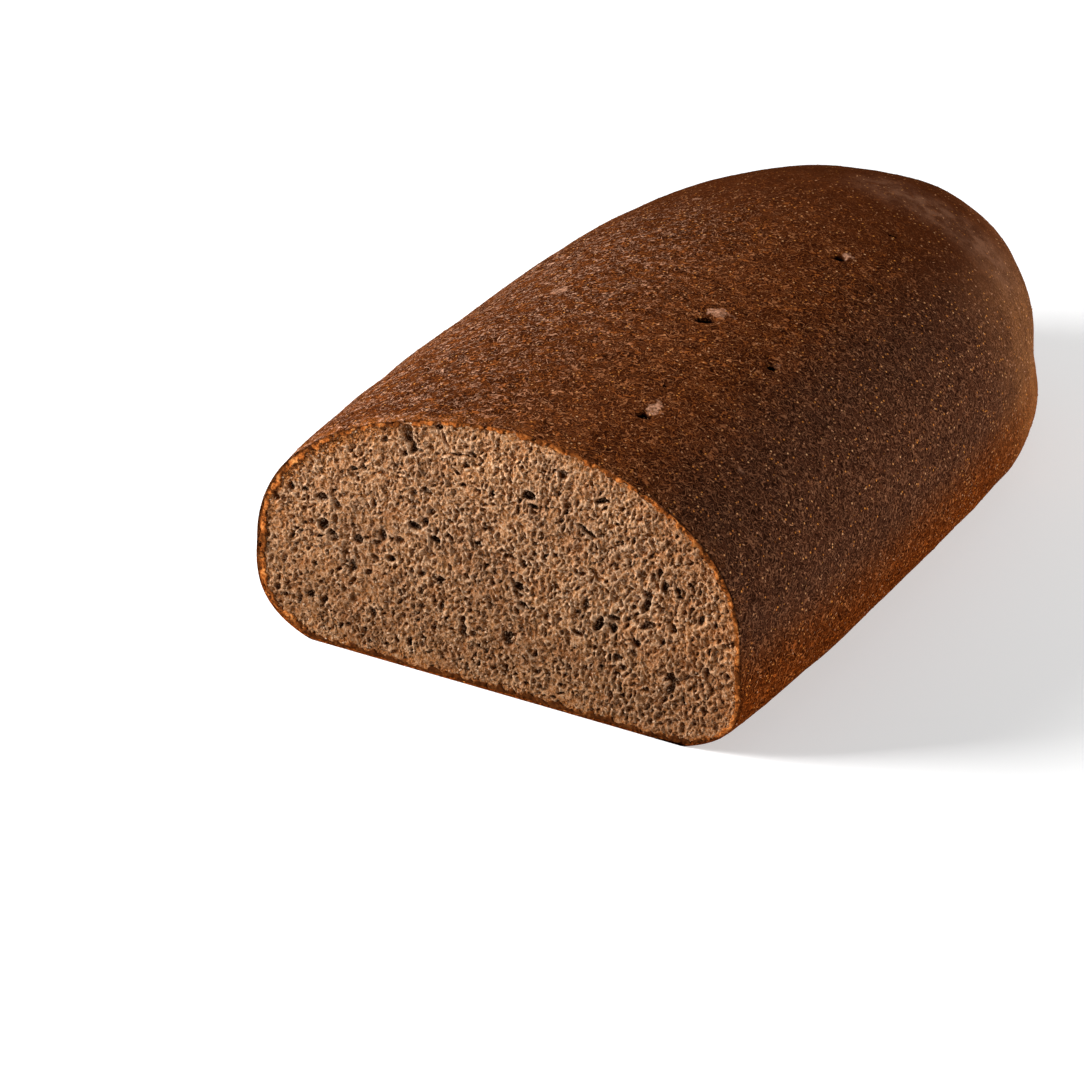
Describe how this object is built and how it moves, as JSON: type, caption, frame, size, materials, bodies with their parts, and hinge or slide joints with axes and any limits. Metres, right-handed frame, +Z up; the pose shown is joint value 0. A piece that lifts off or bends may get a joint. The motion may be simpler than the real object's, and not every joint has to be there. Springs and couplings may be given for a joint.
{
  "type": "rye bread loaf",
  "caption": "Oval dark rye loaf with one end cut off: a low dome on turned-in flanks, a flat base, a pricked crust and a porous cut side.",
  "frame": {"origin": "the middle of the flat base, below the middle of the loaf's box", "axes": "+Y along the loaf from the cut side to the whole end, +Z up, +X to the right as seen from the cut side"},
  "size_m": [0.1298, 0.2058, 0.0671],
  "materials": {
    "crust": "dark baked rye crust, fine grained, with a dull sheen and orange-brown flecks of bran",
    "crumb": "matt, porous grey-brown rye crumb"
  },
  "bodies": {
    "root": {"rye_loaf": "crust"}
  },
  "joints": []
}
